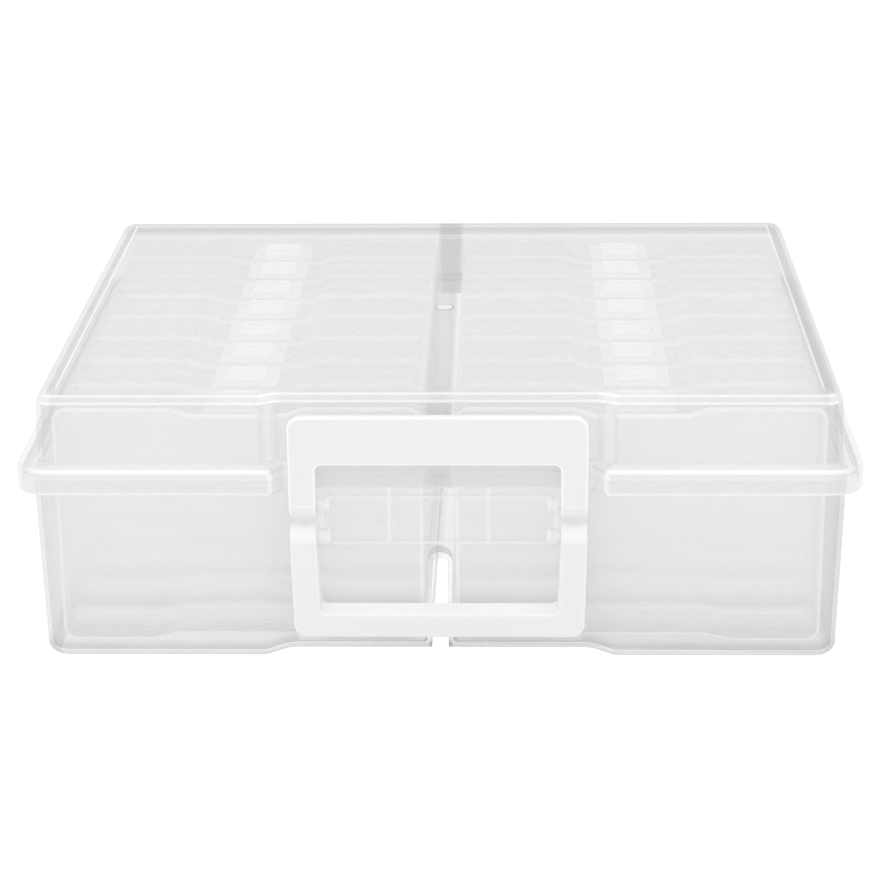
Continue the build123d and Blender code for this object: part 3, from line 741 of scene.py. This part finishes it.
class KEEPER_OT_tub(Operator):
    """Builds the clear tub from its solid, with its edges rounded"""

    bl_idname = "keeper.tub"
    bl_label = "Tub"

    def execute(self, context):
        sizes = context.scene.keeper_tub
        far_out, large = 0.1, 1e-4  # metres from the middle, and square metres
        leaning, flat = 0.15, 0.98  # parts of a face's normal
        hard, even = math.radians(40), math.radians(0.6)
        shortest = 1.0 * MM
        shell = bmesh.new()
        shell.from_mesh(frame["nodes"]["tub"].data)
        bmesh.ops.remove_doubles(shell, verts=shell.verts, dist=2e-6)
        bmesh.ops.dissolve_limit(
            shell, angle_limit=even, verts=shell.verts, edges=shell.edges, use_dissolve_boundaries=False
        )
        shine = shell.faces.layers.float.new("shine")
        # Each face's shadow lift: less cover, a painted light where the latch and the handle shade the tub.
        shadow_lift = shell.faces.layers.float.new("shadow_lift")
        shell.normal_update()
        tunnel = [
            face
            for face in shell.faces
            if abs(face.calc_center_median().x) < sizes.mouth_half and face.calc_area() > large
        ]
        parts = dict.fromkeys(part for face in tunnel for part in (face, *face.edges, *face.verts))
        cut = {"plane_co": (0, sizes.mouth_back, 0), "plane_no": (0, 1, 0)}
        bmesh.ops.bisect_plane(shell, geom=list(parts), dist=1e-6, **cut)
        # Painted shade on the sides and the outer corners, darker at the right, and a faint painted highlight
        # on other curved faces.
        for face in shell.faces:
            straight = max(abs(axis) for axis in face.normal)
            centre = face.calc_center_median()
            if abs(centre.x) > far_out and abs(face.normal.x) > leaning:
                face[shine] = (sizes.side_shine if centre.x < 0 else sizes.right_shine) * face.normal.x**2
            elif straight < flat:
                face[shine] = sizes.bend_shine
        chosen = [
            edge
            for edge in shell.edges
            if edge.is_manifold
            and edge.calc_face_angle() > hard
            and edge.calc_length() > shortest
            and all(self.roomy(vertex, sizes) for vertex in edge.verts)
        ]
        made = bmesh.ops.bevel(
            shell, geom=chosen, offset=sizes.bevel, offset_type="OFFSET", segments=2, profile=0.5,
            affect="EDGES", clamp_overlap=True, miter_outer="SHARP", loop_slide=False,
        )
        # Painted highlight along the rounded edges.
        for face in made["faces"]:
            face[shine] = sizes.edge_shine
        shell.normal_update()
        self.shade(shell, shine, shadow_lift, sizes, set(made["faces"]))
        mesh = bpy.data.meshes.new("clear_tub")
        shell.to_mesh(mesh)
        shell.free()
        material = clear_plastic("tub_clear_plastic", context.scene.keeper_tub_look)
        piece = finished("clear_tub", mesh, material, airy=True)
        piece.visible_shadow = True
        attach(piece, "case")
        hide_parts("tub")
        return {"FINISHED"}

    def roomy(self, vertex, sizes):
        """Whether a corner is in front of the hinges and no edge at it is too short to be rounded."""
        shortest = 0.1 * MM
        return vertex.co.y < sizes.rear and min(edge.calc_length() for edge in vertex.link_edges) > shortest

    def shade(self, shell, shine, shadow_lift, sizes, edges):
        """Darkens the foot, the tunnel's mouth and its roof with painted shade, brightens the bracket that
        carries the pivots with painted highlights, and gives the recess wall and the bracket's plates a
        shadow lift, a painted light where the latch and the handle shade them.
        """
        bracket_low = (PIVOT_HEIGHT["handle_hinge"] - sizes.boss / MM) * MM
        bracket_high = (PIVOT_HEIGHT["latch_hinge"] + sizes.boss / MM) * MM
        slack = 2.0 * MM
        tilted, steep, level = 0.3, 0.5, 0.99  # parts of a face's normal
        for face in shell.faces:
            centre = face.calc_center_median()
            out = abs(centre.x)
            if centre.z < sizes.foot_line and (face in edges or tilted < -face.normal.z < level):
                face[shine] = sizes.foot_shine
            mouth = out < sizes.mouth_half and centre.z < sizes.mouth_height
            if mouth and centre.y < sizes.mouth_back and (face in edges or abs(face.normal.y) < steep):
                face[shine] = sizes.mouth_shine
            if mouth and face not in edges and face.normal.z > tilted and centre.y > sizes.mouth_back:
                face[shine] = sizes.roof_shine if centre.z > sizes.foot_line else 0.0
            wall = abs(face.normal.y) > steep or not mouth
            # A shadow lift on the recess wall, a painted light where the latch and the handle shade it.
            recess = out < sizes.recess_half and sizes.front < centre.y < sizes.mouth_back
            if recess and wall and centre.z > 2 * sizes.foot_line:
                face[shadow_lift] = sizes.recess_shadow_lift
            beside = bracket_low - slack < centre.z < bracket_high + slack
            if beside and face in edges and out < sizes.bracket_half:
                face[shine] = 0.0
            # The bracket: painted highlights on its ribs, front faces and edges, and a shadow lift on its
            # plates.
            if beside and out < sizes.bracket_half + slack and centre.y < sizes.bracket_back:
                rib = abs(out - sizes.rib_place) < slack
                forward = face.normal.y < -steep
                plain = sizes.edge_shine if face in edges or forward else 0.0
                face[shadow_lift] = 0.0 if rib or plain > 0 else sizes.recess_shadow_lift
                face[shine] = sizes.rib_shine if rib else plain


class KEEPER_OT_lid(Operator):
    """Builds the clear lid: a raised shell on a ledge, with a skirt and two hinge clips"""

    bl_idname = "keeper.lid"
    bl_label = "Lid"

    def execute(self, context):
        sizes = context.scene.keeper_lid
        low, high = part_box("lid")
        half, front, back, top = high.x, low.y, high.y, high.z
        skirt = notched_corners(half, front, back, sizes.recess_half, sizes.recess_depth, sizes.recess_ramp)
        shell = notched_corners(
            half - sizes.raised_side,
            front + sizes.raised_front,
            back - sizes.raised_back,
            sizes.recess_half + sizes.raised_widening,
            sizes.raised_depth,
            sizes.raised_ramp,
        )
        steps = 13
        share, inset, height, *shines = (np.array(column, float) for column in zip(*self.profile(sizes, top)))
        outer, inner = (
            rounded_outline(corners, [radius] + [curve] * 4 + [radius] * 3, inset, steps)
            for corners, radius, curve in (
                (skirt, sizes.skirt_radius, sizes.skirt_curve),
                (shell, sizes.raised_radius, sizes.raised_curve),
            )
        )
        plan = outer * (1 - share)[:, None, None] + inner * share[:, None, None]
        plan, z = self.slotted(sizes, plan, height, 7 * steps)
        # Painted highlight on the front corners of the top's rounding.
        corner = np.where((height > top - sizes.raised_edge) & (height < top), 0.5, 0.0)
        shine = self.lustre(sizes, plan, share < 1, corner, *shines)
        skin = Skin()
        skin.tube(np.concatenate([plan, z[..., None]], -1), shine[:-1])
        self.clips(skin, sizes, back)
        # The gate's mark: a painted shade round a ring with a painted highlight.
        ring = sizes.gate_radius
        gate, step, soft = (0, -sizes.gate_back), top - 0.1 * MM, 0.04 * MM
        skin.disc(gate, 1.2 * ring, top - 0.3 * MM, step, soft, upright, 6, -1.0, -0.8)
        skin.disc(gate, ring, step, top, soft, upright, 6, 1.0, 0.9)
        material = clear_plastic("lid_clear_plastic", context.scene.keeper_lid_look)
        piece = skin.piece("clear_lid", material, airy=True)
        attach(piece, "lid")
        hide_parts("lid")
        return {"FINISHED"}

    def bend(self, turned, share, inset, height, out, up, *shines):
        """Rows along a quarter turn that runs inwards and upwards, or the other way where out or up is -1."""
        return [(share, inset + out * a, height + up * b, *shines) for a, b in zip(*turned)]

    def profile(self, sizes, top):
        """The rows of the lid's profile, from the hollow's top round the skirt's foot to the flat top.

        Each row has its share of the raised shell's outline, its inset and its height. For the band up to the
        next row follow its painted shine, a painted highlight above zero and a painted shade below, where it
        faces the front, the sides and the back, and how much more painted highlight it gets where it curves.
        """
        wall, ledge = sizes.wall, sizes.ledge
        bead, edge, root = sizes.skirt_bead, sizes.skirt_edge, sizes.root
        outer, hollow = sizes.raised_edge, sizes.hollow_edge
        foot, under = ledge - sizes.skirt_height, ledge - wall
        lean = math.tan(sizes.draft)
        hollow_start, outer_start = top - wall - hollow, top - outer
        drawn_in = wall + lean * (hollow_start - under)
        line, band = 1.0 * MM, 2.6 * MM
        rows = self.bend(quarter(hollow, 90, 0, 7), 1, drawn_in, hollow_start, 1, 1, 0.3, -0.3, -0.4, 0)
        rows[-1] = (*rows[-1][:3], 0.1, 0.4, 0.8, 0)
        rows += [(1, wall + lean * (hollow_start - band - under), hollow_start - band, 0.0, -0.1, -0.1, 0.8)]
        rows += self.bend(quarter(root, 0, 90, 4), 1, wall, under + root, -1, -1, 0.6, 0.05, -0.1, 0)
        rows += [(0, wall + root, under, 0.7, 0.05, -0.1, 0)]
        rows += [(0, wall, under - root, 0.5, 0.05, -0.1, 0.5)]
        turned = quarter(bead, 0, 90, 4)
        rows += self.bend(turned, 0, wall, foot + bead, -1, -1, 0.9, 0.0, 0.0, 0)
        rows += self.bend(turned, 0, 0, foot + bead, 1, -1, 1.0, 0.0, 0.0, 0)[::-1]
        rows[-1] = (*rows[-1][:3], 0.6, 0.05, -0.1, 0.5)
        rows += [(0, 0, ledge - edge - 3 * line, 0.75, 0.05, -0.1, 0.5)]
        rows += self.bend(quarter(edge, 0, 90, 5), 0, 0, ledge - edge, 1, 1, 1.0, 0.1, 0.0, 0)
        rows[-1] = (*rows[-1][:3], 0.6, 0.05, -0.1, 0)
        turned, inner = quarter(root, 90, 0, 4), lean * (ledge - under)
        rows += self.bend(turned, 1, inner, ledge + root, -1, -1, 0.4, 0.2, 0.0, 0)
        rows[-1] = (*rows[-1][:3], 0.0, -0.1, -0.2, 0.8)
        inner = lean * (outer_start - under)
        # Painted light on the top's rounding: highlights towards the front, shade at the sides and the back.
        ahead = (0.2, 0.9, 0.5, 0.5, 0.9, 0.3, 0.0, 0.0, 0.0)
        aside = (-0.2,) + (-0.3,) * 8
        turned = self.bend(quarter(outer, 0, 90, 9), 1, inner, outer_start, 1, 1)
        rows += [(*row, a, b, -0.45, 0.5) for row, a, b in zip(turned, ahead, aside)]
        inner += outer
        # A painted highlight line on the top plate, at the sides only.
        rows += [(1, inner + 2.2 * line, top, 0.0, 0.9, 0.0, 0)]
        return rows + [(1, inner + 3.2 * line, top, 0.0, 0.0, 0.0, 0)]

    def slotted(self, sizes, plan, height, start):
        """Opens the hinge slots: points are added on the back run, from start, and its lowest rows lifted.

        Returns the points in plan and the height of each.
        """
        foot = sizes.ledge - sizes.skirt_height
        tiny = 0.05 * MM
        near, far = (sizes.hinge_spacing + way * sizes.slot_width for way in (-1, 1))
        stops = np.array([far / 2 + tiny, far / 2, near / 2, near / 2 - tiny])
        stops = np.concatenate([stops, -stops[::-1]])
        extra = np.empty((len(plan), len(stops), 2))
        extra[..., 0] = stops
        extra[..., 1] = plan[:, start - 1, None, 1]
        plan = np.concatenate([plan[:, :start], extra, plan[:, start:]], axis=1)
        lift = np.zeros(plan.shape[1])
        lift[start : start + len(stops)] = np.array([0, 1, 1, 0, 0, 1, 1, 0]) * (sizes.slot_top - foot)
        lower = (height < foot + sizes.skirt_bead + tiny).astype(float)
        return plan, height[:, None] + lower[:, None] * lift[None]

    def lustre(self, sizes, plan, on_skirt, corner, forward, sideways, backward, curved):
        """The painted shine of each cell by its outward normal in plan, its run along the row turned by a
        quarter.

        The shines of the front and the back count by the square of the normal's part along Y, and that of
        the sides by what is left, less a painted shade on the right side. The skirt's front in the recess
        shines less by the recess calm. The front's curves get curved near the recess and corner elsewhere, as
        painted highlights.
        """
        run = np.roll(plan, -1, axis=1) - plan
        run /= np.linalg.norm(run, axis=-1, keepdims=True)
        front_share = np.clip(run[..., 0], 0, 1) ** 2
        back_share = np.clip(-run[..., 0], 0, 1) ** 2
        right_share = np.clip(run[..., 1], 0, 1) ** 2
        bent = 2 * np.abs(run[..., 0] * run[..., 1]) * (run[..., 0] > 0)
        out = np.abs(plan[..., 0])
        at_recess = out < sizes.recess_half + 20 * MM
        shine = (sideways[:, None] - sizes.right_shade * right_share) * (1 - front_share - back_share)
        shine += forward[:, None] * front_share
        shine *= 1 - sizes.recess_calm * front_share * (out < sizes.recess_half) * on_skirt[:, None]
        curves = (curved[:, None] * at_recess + corner[:, None] * ~at_recess) * bent
        return shine + (backward[:, None] * back_share + curves)

    def clips(self, skin, sizes, back):
        """Adds the two hinge clips: a C-shaped section, open forwards and down, carried along X."""
        y, z = back - sizes.clip_radius, sizes.hinge_height
        half, soft = sizes.clip_width / 2, 0.2 * MM
        plate_foot, plate_top, plate_front = z + 0.5 * MM, z + 5.8 * MM, back - sizes.wall
        angle = np.radians(np.linspace(-90, 190, 29))
        turned = np.stack([np.cos(angle), np.sin(angle)], -1)
        section = np.concatenate([sizes.clip_radius * turned, sizes.clip_bore * turned[::-1]]) + (y, z)
        for centre in (-sizes.hinge_spacing / 2, sizes.hinge_spacing / 2):
            ends = centre + np.array([-half, half])
            # Faint painted highlights on the clips.
            skin.tube(facing_side(raised(np.stack([section, section]), ends)), [0.3])
            skin.bar((ends[0], plate_front, plate_foot), (ends[1], back, plate_top), soft, shine=0.3)


def grip_shell(sizes, corners, radii, face, depth, shine, **more):
    """A new skin with the shell of a grip: its outline, with a face in front and hollow at the back."""
    skin = Skin()
    skin.cup(
        corners, radii, -(face + depth), depth, sizes.wall, sizes.edge, 0.3 * MM, 0.0,
        facing_front, 9, shine, **more,
    )
    return skin


def back_ribs(skin, sizes, face, back, low, high):
    """Adds evenly spaced ribs in the hollow behind a bar, from one long wall to the other."""
    spacing = (sizes.width - 2 * sizes.arm) / (sizes.ribs + 1)
    bite, cover, hair, rounding = 0.4 * sizes.wall, 1.2 * MM, 0.1 * MM, 0.25 * MM
    for number in range(sizes.ribs):
        x = (number - (sizes.ribs - 1) / 2) * spacing
        # Each rib has a full painted highlight on its rounded edges.
        skin.bar(
            (x - sizes.rib / 2, face + cover, low + bite),
            (x + sizes.rib / 2, back - hair, high - bite),
            rounding,
        )


def pivot_ends(skin, sizes, height, face, knee):
    """Adds the round ends of two arms and the pins that point inwards from them.

    Each round end is a hair narrower than its arm and each pin stops inside its head, so that no two
    flat faces lie in one plane.
    """
    y = face + sizes.pivot_radius
    outer = sizes.width / 2
    inner = outer - sizes.arm
    hair = 0.06 * MM
    tip = inner - sizes.pin_reach
    # Painted highlights on the roundings of each round; knee paints one on the round end's curved side and
    # flat faces.
    rounds = (
        (sizes.pivot_radius, inner + hair, outer - hair, sizes.edge, 10, 0.5, knee),
        (sizes.pin_radius, inner + 0.4 * sizes.arm, tip + 0.5 * sizes.head, 0.3 * MM, 8, 0.5, 0.0),
        (sizes.head_radius, tip, tip + sizes.head, 0.45 * sizes.head, 8, 0.2, 0.0),
    )
    for side in (-1, 1):
        for radius, start, stop, rounding, steps, shine, flat in rounds:
            low, high = sorted((side * start, side * stop))
            skin.disc((y, height), radius, low, high, rounding, facing_side, steps, shine, flat)


class KEEPER_OT_latch(Operator):
    """Builds the white latch: an inverted U, hollow at the back, with a lip that hooks over the ledge"""

    bl_idname = "keeper.latch"
    bl_label = "Latch"

    def execute(self, context):
        sizes = context.scene.keeper_grips
        low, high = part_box("latch")
        face = low.y
        outer = sizes.width / 2
        inner = outer - sizes.arm
        foot, top = sizes.latch_pivot, high.z
        bar = top - sizes.latch_bar
        corners = (
            (-outer, foot), (-inner, foot), (-inner, bar), (inner, bar),
            (inner, foot), (outer, foot), (outer, top), (-outer, top),
        )
        small, opening, corner = 0.3 * MM, sizes.latch_opening, sizes.corner
        radii = (small, small, opening, opening, small, small, corner, corner)
        depth, back = sizes.latch_thickness, face + sizes.latch_thickness
        # Painted highlights on the hollow's edge, the rim and the rounded front edge.
        skin = grip_shell(sizes, corners, radii, face, depth, (0.5, 0.6, 0.9), belt=(sizes.latch_chamfer,))
        back_ribs(skin, sizes, face, back, bar, top)
        # The chamfer: no point behind it stands higher than a plane that falls towards the back at 45 degrees
        for points in skin.points:
            points[:, 2] = np.minimum(points[:, 2], top - sizes.latch_chamfer + (back - points[:, 1]))
        # The lip, with a painted highlight on its rounded edges.
        skin.bar(
            (-sizes.lip_length / 2, back - 0.5 * sizes.wall, sizes.lip_low),
            (sizes.lip_length / 2, back + sizes.lip_reach, sizes.lip_low + sizes.lip_thickness),
            0.4 * MM,
        )
        pivot_ends(skin, sizes, foot, face, 0.0)
        material = white_plastic("latch_white_plastic", context.scene.keeper_grip_look)
        piece = skin.piece("white_latch", material)
        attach(piece, "latch")
        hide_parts("latch")
        return {"FINISHED"}


class KEEPER_OT_handle(Operator):
    """Builds the white carry handle: a U with a thick bar, hollow at the back"""

    bl_idname = "keeper.handle"
    bl_label = "Handle"

    def execute(self, context):
        sizes = context.scene.keeper_grips
        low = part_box("handle")[0]
        face, foot = low.y, low.z
        outer = sizes.width / 2
        inner = outer - sizes.arm
        toe = sizes.handle_toe
        head, bar = sizes.handle_pivot, foot + sizes.handle_bar
        corners = (
            (-outer, head), (-outer + toe, foot), (outer - toe, foot), (outer, head),
            (inner, head), (inner - toe, bar), (toe - inner, bar), (-inner, head),
        )
        small = 0.3 * MM
        opening = sizes.handle_opening
        radii = (small, sizes.corner, sizes.corner, small, small, opening, opening, small)
        # Painted highlights on the edges, and on the walls that face up, where light from above falls.
        skin = grip_shell(sizes, corners, radii, face, sizes.handle_depth, (0.5, 0.6, 0.35), upper=0.5)
        back_ribs(skin, sizes, face, face + sizes.handle_depth, foot, bar)
        pivot_ends(skin, sizes, head, face, 0.5)
        material = white_plastic("handle_white_plastic", context.scene.keeper_grip_look)
        piece = skin.piece("white_handle", material)
        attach(piece, "handle")
        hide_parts("handle")
        return {"FINISHED"}


class KEEPER_OT_snap_cases(Operator):
    """Builds the sixteen snap cases, each of two half shells"""

    bl_idname = "keeper.snap_cases"
    bl_label = "Snap cases"

    def execute(self, context):
        sizes = context.scene.keeper_snaps
        material = clear_plastic("snap_case_plastic", context.scene.keeper_snap_look)
        low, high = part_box("left_case_1_tray")
        depth = (high.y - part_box("left_case_1_cover")[0].y) / 2
        size = ((high.x - low.x) / 2, low.z, high.z, depth)
        # Painted highlights on the face's edge: full on the first case's cover, elsewhere mostly where it
        # faces down.
        covers = {1: self.half(sizes, *size, -1, 0.9, 1.0), 2: self.half(sizes, *size, -1, 0.9, 0.08)}
        tray = self.half(sizes, *size, 1, 0.6, 0.08)
        for column in COLUMNS:
            for number in range(1, CASES + 1):
                low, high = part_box(f"{column}_case_{number}_tray")
                place = ((low.x + high.x) / 2, high.y - depth, 0)
                for half, skin in (("cover", covers[min(number, 2)]), ("tray", tray)):
                    piece = skin.piece(f"snap_{column}_{number}_{half}", material, place, airy=True)
                    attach(piece, "case")
                    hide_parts(f"{column}_case_{number}_{half}")
        return {"FINISHED"}

    def half(self, sizes, half_width, foot, top, depth, way, edge_shine, rest):
        """One half shell about X = 0 and Y = 0: the cover, way -1, faces the front, and the tray the back."""
        hinge, ramp = sizes.hinge_notch / 2, sizes.hinge_notch / 2 + sizes.hinge_ramp
        tongue, slope = sizes.tongue_notch / 2, sizes.tongue_notch / 2 + sizes.tongue_ramp
        step, floor = foot + sizes.hinge_depth, top - sizes.tongue_depth
        corners = (
            (-half_width, foot), (-ramp, foot), (-hinge, step), (hinge, step),
            (ramp, foot), (half_width, foot), (half_width, top), (slope, top),
            (tongue, floor), (-tongue, floor), (-slope, top), (-half_width, top),
        )
        corner, curve = sizes.corner, sizes.notch_curve
        radii = (corner, curve, curve, curve, curve, corner, corner, curve, curve, curve, curve, corner)
        stand = facing_front if way < 0 else facing_back
        skin = Skin()
        # Painted shine on the hollow, the rim and the face's edge, and painted shade on the walls that face
        # up.
        skin.cup(
            corners, radii, sizes.seam / 2, depth - sizes.seam / 2, sizes.wall, sizes.edge, sizes.rim,
            math.tan(sizes.draft), stand, 7, (0.05, 0.15, edge_shine),
            upper=sizes.upper_shine, rest=rest, flip=way > 0,
        )
        hair, gap, soft = 0.1 * MM, 0.3 * MM, 0.3 * MM
        wide, pad = sizes.pocket_width / 2, floor + sizes.pocket_thickness
        near, far = sorted((way * gap, way * sizes.pocket_length))
        # Painted highlights on the pad, the tongue and its ridges.
        skin.bar((-wide, near, floor - hair), (wide, far, pad), 0.4 * soft, shine=0.6, face=0.4)
        if way < 0:
            wide, reach, ridge = sizes.tongue_width / 2, sizes.tongue_length, sizes.ridge
            low, high = pad + hair, pad + hair + sizes.tongue_thickness
            skin.bar((-wide, -reach, low), (wide, reach, high), soft, shine=0.8, face=0.55)
            for y in (-reach, reach - ridge):
                skin.bar((-wide, y, high - hair), (wide, y + ridge, high + ridge), soft, face=1.0)
            centres = (-sizes.knuckle_length - gap, sizes.knuckle_length + gap)
        else:
            centres = (0.0,)
        drop = step - sizes.knuckle - sizes.seam
        # Knuckles with a painted highlight.
        for x in centres:
            ends = (x - sizes.knuckle_length / 2, x + sizes.knuckle_length / 2)
            skin.disc((0, drop), sizes.knuckle, *ends, 0.2 * MM, steps=4, shine=0.5)
        return skin


# ---------------- stage


class KEEPER_OT_stage(Operator):
    """Builds the floor, the soft lamps, the sky and the camera"""

    bl_idname = "keeper.stage"
    bl_label = "Stage"

    def execute(self, context):
        stage = context.scene.keeper_stage
        self.floor(stage)
        self.sky(context, stage)
        self.lamp("top_lamp", stage.top_power, size=3.0, place=(0.0, 0.2, 2.6), aim=(0.0, 0.0, 0.0))
        self.lamp("front_lamp", stage.front_power, size=3.2, place=(-0.3, -2.8, 1.5), aim=(0.0, 0.0, 0.05))
        self.camera(context, stage)
        context.scene.view_settings.view_transform = "Standard"
        context.scene.cycles.transparent_max_bounces = 256
        return {"FINISHED"}

    def seen(self, paint):
        """One for a ray that the camera sends, and zero for light on its way."""
        return paint.node("ShaderNodeLightPath", output="Is Camera Ray")

    def floor(self, stage):
        """A flat square that is white to the eye apart from the case's own shadow."""
        half = stage.floor_size / 2
        mesh = bpy.data.meshes.new("floor")
        corners = [(a * half, b * half, 0) for a, b in SQUARE]
        mesh.from_pydata(corners, [], [(0, 1, 2, 3)])
        material, paint = Paint.material("floor_paper")
        base = paint.node("ShaderNodeBsdfDiffuse", {"Color": opaque(stage.floor_colour)})
        own_light, lit_share = 0.82, 0.25
        glow = paint.node("ShaderNodeEmission", {"Color": WHITE, "Strength": own_light})
        shadow = paint.node("ShaderNodeBsdfDiffuse", {"Color": opaque((lit_share,) * 3)})
        white = paint.node("ShaderNodeAddShader", {0: glow, 1: shadow})
        paint.surface(paint.node("ShaderNodeMixShader", {0: self.seen(paint), 1: base, 2: white}))
        mesh.materials.append(material)
        floor = placed("floor", mesh)

    def sky(self, context, stage):
        """An even light from all round, white to the eye."""
        world = bpy.data.worlds.new("studio")
        context.scene.world = world
        world.use_nodes = True
        paint = Paint(world.node_tree)
        light = paint.node("ShaderNodeBackground", {"Color": WHITE, "Strength": stage.sky})
        white = paint.node("ShaderNodeBackground", {"Color": WHITE, "Strength": 1.0})
        shader = paint.node("ShaderNodeMixShader", {0: self.seen(paint), 1: light, 2: white})
        paint.node("ShaderNodeOutputWorld", {"Surface": shader})

    def lamp(self, name, power, size, place, aim):
        """A square lamp that looks at a point."""
        data = bpy.data.lights.new(name, "AREA")
        data.energy = power
        data.size = size
        lamp = placed(name, data)
        lamp.location = place
        lamp.rotation_euler = (Vector(aim) - Vector(place)).to_track_quat("-Z", "Y").to_euler()

    def camera(self, context, stage):
        """A camera that looks forward, turned by its yaw, tipped down by its pitch and tilted by its roll."""
        data = bpy.data.cameras.new("camera")
        data.lens = stage.camera_lens
        data.sensor_width = 36.0
        data.clip_start, data.clip_end = 0.05, 50.0
        camera = placed("camera", data)
        pitch, yaw, roll = stage.camera_pitch, stage.camera_yaw, stage.camera_roll
        ahead = Vector((math.sin(yaw) * math.cos(pitch), math.cos(yaw) * math.cos(pitch), -math.sin(pitch)))
        level = Vector((math.cos(yaw), -math.sin(yaw), 0))
        above = level.cross(ahead)
        right = level * math.cos(roll) + above * math.sin(roll)
        up = above * math.cos(roll) - level * math.sin(roll)
        turned = Matrix((right, up, -ahead)).transposed().to_4x4()
        camera.matrix_world = Matrix.Translation(Vector(stage.camera_place)) @ turned
        context.scene.camera = camera


class KEEPER_PT_panel(Panel):
    """The keeper's pieces, one button each"""

    bl_idname = "KEEPER_PT_panel"
    bl_label = "Photo Keeper Case"
    bl_space_type = "VIEW_3D"
    bl_region_type = "UI"
    bl_category = "Keeper"

    def draw(self, context):
        for operator in OPERATORS:
            self.layout.operator(operator.bl_idname, text=operator.bl_label)


OPERATORS = (
    KEEPER_OT_tub,
    KEEPER_OT_lid,
    KEEPER_OT_latch,
    KEEPER_OT_handle,
    KEEPER_OT_snap_cases,
    KEEPER_OT_stage,
)


def register():
    """Registers the sizes, the operators and the panel."""
    for name, group in LOOKS:
        bpy.utils.register_class(group)
        setattr(bpy.types.Scene, name, PointerProperty(type=group))
    for operator in OPERATORS:
        bpy.utils.register_class(operator)
    bpy.utils.register_class(KEEPER_PT_panel)


def unregister():
    """Removes what register added."""
    bpy.utils.unregister_class(KEEPER_PT_panel)
    for operator in reversed(OPERATORS):
        bpy.utils.unregister_class(operator)
    for name, group in reversed(LOOKS):
        delattr(bpy.types.Scene, name)
        bpy.utils.unregister_class(group)


def main():
    """Makes every piece and the stage."""
    register()
    bpy.ops.keeper.stage()
    bpy.ops.keeper.tub()
    bpy.ops.keeper.lid()
    bpy.ops.keeper.latch()
    bpy.ops.keeper.handle()
    bpy.ops.keeper.snap_cases()


if __name__ == "__main__":
    main()
